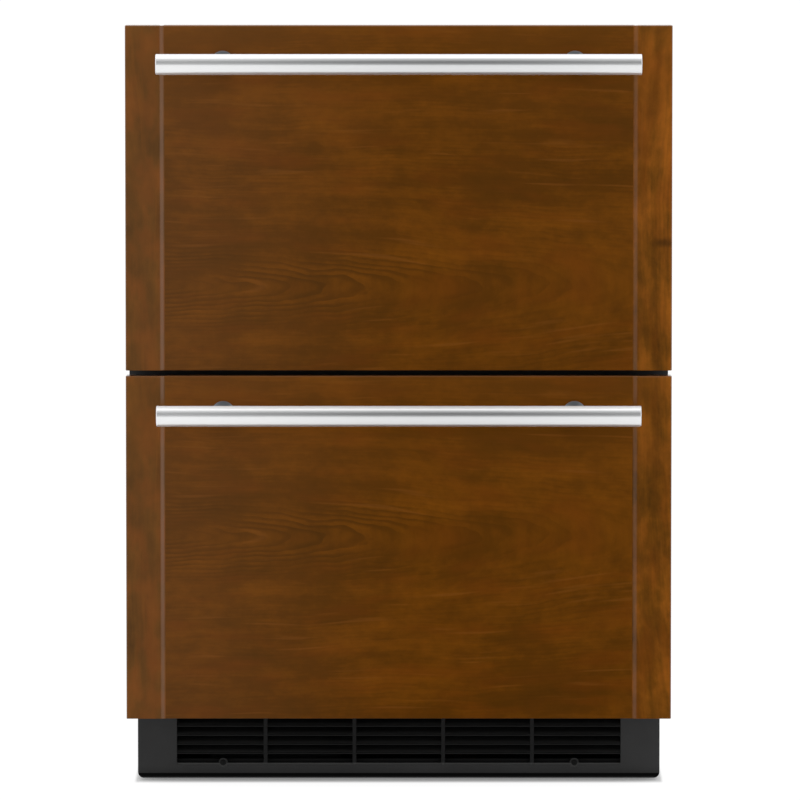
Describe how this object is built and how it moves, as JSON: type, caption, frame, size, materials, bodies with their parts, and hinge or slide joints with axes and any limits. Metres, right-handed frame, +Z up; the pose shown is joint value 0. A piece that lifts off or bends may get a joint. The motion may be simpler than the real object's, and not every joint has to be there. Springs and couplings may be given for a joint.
{
  "type": "built-in drawer freezer",
  "caption": "Under-counter freezer with stacked wood-fronted drawers on full-extension slides, bar handles and a louvred toe kick.",
  "frame": {"origin": "on the floor, under the middle of the whole object's box, with the legs wound in", "axes": "+Z up, the drawers' front faces -Y, X across"},
  "size_m": [0.606, 0.68, 0.85],
  "materials": {
    "wood_board": "satin varnish, level grain",
    "wood_stile": "satin varnish, upright grain",
    "handle_steel": "brushed along the bar",
    "black_steel": "satin black powder coat",
    "kick_black": "satin dark grey powder coat",
    "grille_black": "moulded, fine grain",
    "cabinet_steel": "black pre-painted sheet",
    "galvanised_steel": "bare galvanised sheet",
    "slide_steel": "bright zinc plate",
    "compressor_black": "gloss black paint",
    "liner_white": "vacuum-formed white",
    "bin_clear_grey": "moulded, light grey",
    "gasket_rubber": "matt",
    "foam": "rigid foam",
    "copper": "drawn tube",
    "coil_aluminium": "mill finish",
    "fan_plastic": "moulded",
    "lamp_lens": "frosted",
    "panel_gloss": "gloss black",
    "leg_plastic": "moulded round a steel stem"
  },
  "bodies": {
    "cabinet": {"slide_outer_rails": "slide_steel", "outer_wrapper": "cabinet_steel", "front_frame": "black_steel", "rear_panel": "galvanised_steel", "cabinet_foam": "foam", "upper_liner": "liner_white", "lower_liner": "liner_white", "bay_liner": "galvanised_steel", "base_tray": "black_steel", "kick_plate": "kick_black", "kick_grille": "grille_black", "kick_screws": "black_steel", "counter_brackets": "galvanised_steel", "compressor_cover": "galvanised_steel", "cord_gland": "grille_black", "compressor": "compressor_black", "condenser_coil": "copper", "condenser_fan_frame": "fan_plastic", "drain_pan": "grille_black", "refrigerant_lines": "copper", "control_box": "grille_black", "evaporator_coil": "coil_aluminium", "evaporator_cover": "liner_white", "evaporator_fan_frame": "fan_plastic", "control_panel": "panel_gloss", "compartment_lamps": "lamp_lens"},
    "upper_drawer": {"upper_panel_board": "wood_board", "upper_panel_stiles": "wood_stile", "upper_handle_bar": "handle_steel", "upper_handle_posts": "handle_steel", "upper_handle_screws": "slide_steel", "upper_front_pan": "black_steel", "upper_front_foam": "foam", "upper_front_liner": "liner_white", "upper_gasket": "gasket_rubber", "upper_bin": "bin_clear_grey", "upper_slide_inner": "slide_steel"},
    "upper_slide_middle_body": {"upper_slide_middle": "slide_steel"},
    "upper_outer_ball_cages_body": {"upper_outer_ball_cages": "slide_steel"},
    "upper_inner_ball_cages_body": {"upper_inner_ball_cages": "slide_steel"},
    "lower_drawer": {"lower_panel_board": "wood_board", "lower_panel_stiles": "wood_stile", "lower_handle_bar": "handle_steel", "lower_handle_posts": "handle_steel", "lower_handle_screws": "slide_steel", "lower_front_pan": "black_steel", "lower_front_foam": "foam", "lower_front_liner": "liner_white", "lower_gasket": "gasket_rubber", "lower_bin": "bin_clear_grey", "lower_slide_inner": "slide_steel"},
    "lower_slide_middle_body": {"lower_slide_middle": "slide_steel"},
    "lower_outer_ball_cages_body": {"lower_outer_ball_cages": "slide_steel"},
    "lower_inner_ball_cages_body": {"lower_inner_ball_cages": "slide_steel"},
    "condenser_fan_rotor": {"condenser_fan": "fan_plastic"},
    "evaporator_fan_rotor": {"evaporator_fan": "fan_plastic"},
    "front_left_leg_body": {"front_left_leg": "leg_plastic"},
    "front_right_leg_body": {"front_right_leg": "leg_plastic"},
    "rear_left_leg_body": {"rear_left_leg": "leg_plastic"},
    "rear_right_leg_body": {"rear_right_leg": "leg_plastic"}
  },
  "joints": [
    {"name": "upper_drawer_slide", "type": "slide", "parent": "cabinet", "child": "upper_drawer", "axis": [0, -1, 0], "range_m": [0, 0.4]},
    {"name": "upper_slide_middle_follow", "type": "slide", "parent": "cabinet", "child": "upper_slide_middle_body", "axis": [0, -1, 0], "range_m": [0, 0.2]},
    {"name": "upper_outer_ball_cages_follow", "type": "slide", "parent": "cabinet", "child": "upper_outer_ball_cages_body", "axis": [0, -1, 0], "range_m": [0, 0.1]},
    {"name": "upper_inner_ball_cages_follow", "type": "slide", "parent": "cabinet", "child": "upper_inner_ball_cages_body", "axis": [0, -1, 0], "range_m": [0, 0.3]},
    {"name": "lower_drawer_slide", "type": "slide", "parent": "cabinet", "child": "lower_drawer", "axis": [0, -1, 0], "range_m": [0, 0.26]},
    {"name": "lower_slide_middle_follow", "type": "slide", "parent": "cabinet", "child": "lower_slide_middle_body", "axis": [0, -1, 0], "range_m": [0, 0.13]},
    {"name": "lower_outer_ball_cages_follow", "type": "slide", "parent": "cabinet", "child": "lower_outer_ball_cages_body", "axis": [0, -1, 0], "range_m": [0, 0.065]},
    {"name": "lower_inner_ball_cages_follow", "type": "slide", "parent": "cabinet", "child": "lower_inner_ball_cages_body", "axis": [0, -1, 0], "range_m": [0, 0.195]},
    {"name": "condenser_fan_spin", "type": "hinge", "parent": "cabinet", "child": "condenser_fan_rotor", "pos_m": [-0.02, 0.245, 0.0705], "axis": [1, 0, 0], "continuous": true},
    {"name": "evaporator_fan_spin", "type": "hinge", "parent": "cabinet", "child": "evaporator_fan_rotor", "pos_m": [0, 0.112, 0.364], "axis": [0, 1, 0], "continuous": true},
    {"name": "front_left_leg_wind", "type": "slide", "parent": "cabinet", "child": "front_left_leg_body", "axis": [0, 0, -1], "range_m": [0, 0.03]},
    {"name": "front_right_leg_wind", "type": "slide", "parent": "cabinet", "child": "front_right_leg_body", "axis": [0, 0, -1], "range_m": [0, 0.03]},
    {"name": "rear_left_leg_wind", "type": "slide", "parent": "cabinet", "child": "rear_left_leg_body", "axis": [0, 0, -1], "range_m": [0, 0.03]},
    {"name": "rear_right_leg_wind", "type": "slide", "parent": "cabinet", "child": "rear_right_leg_body", "axis": [0, 0, -1], "range_m": [0, 0.03]}
  ],
  "couplings": [
    {"joint": "upper_slide_middle_follow", "follows": "upper_drawer_slide", "ratio": 0.5},
    {"joint": "upper_outer_ball_cages_follow", "follows": "upper_drawer_slide", "ratio": 0.25},
    {"joint": "upper_inner_ball_cages_follow", "follows": "upper_drawer_slide", "ratio": 0.75},
    {"joint": "lower_slide_middle_follow", "follows": "lower_drawer_slide", "ratio": 0.5},
    {"joint": "lower_outer_ball_cages_follow", "follows": "lower_drawer_slide", "ratio": 0.25},
    {"joint": "lower_inner_ball_cages_follow", "follows": "lower_drawer_slide", "ratio": 0.75}
  ]
}
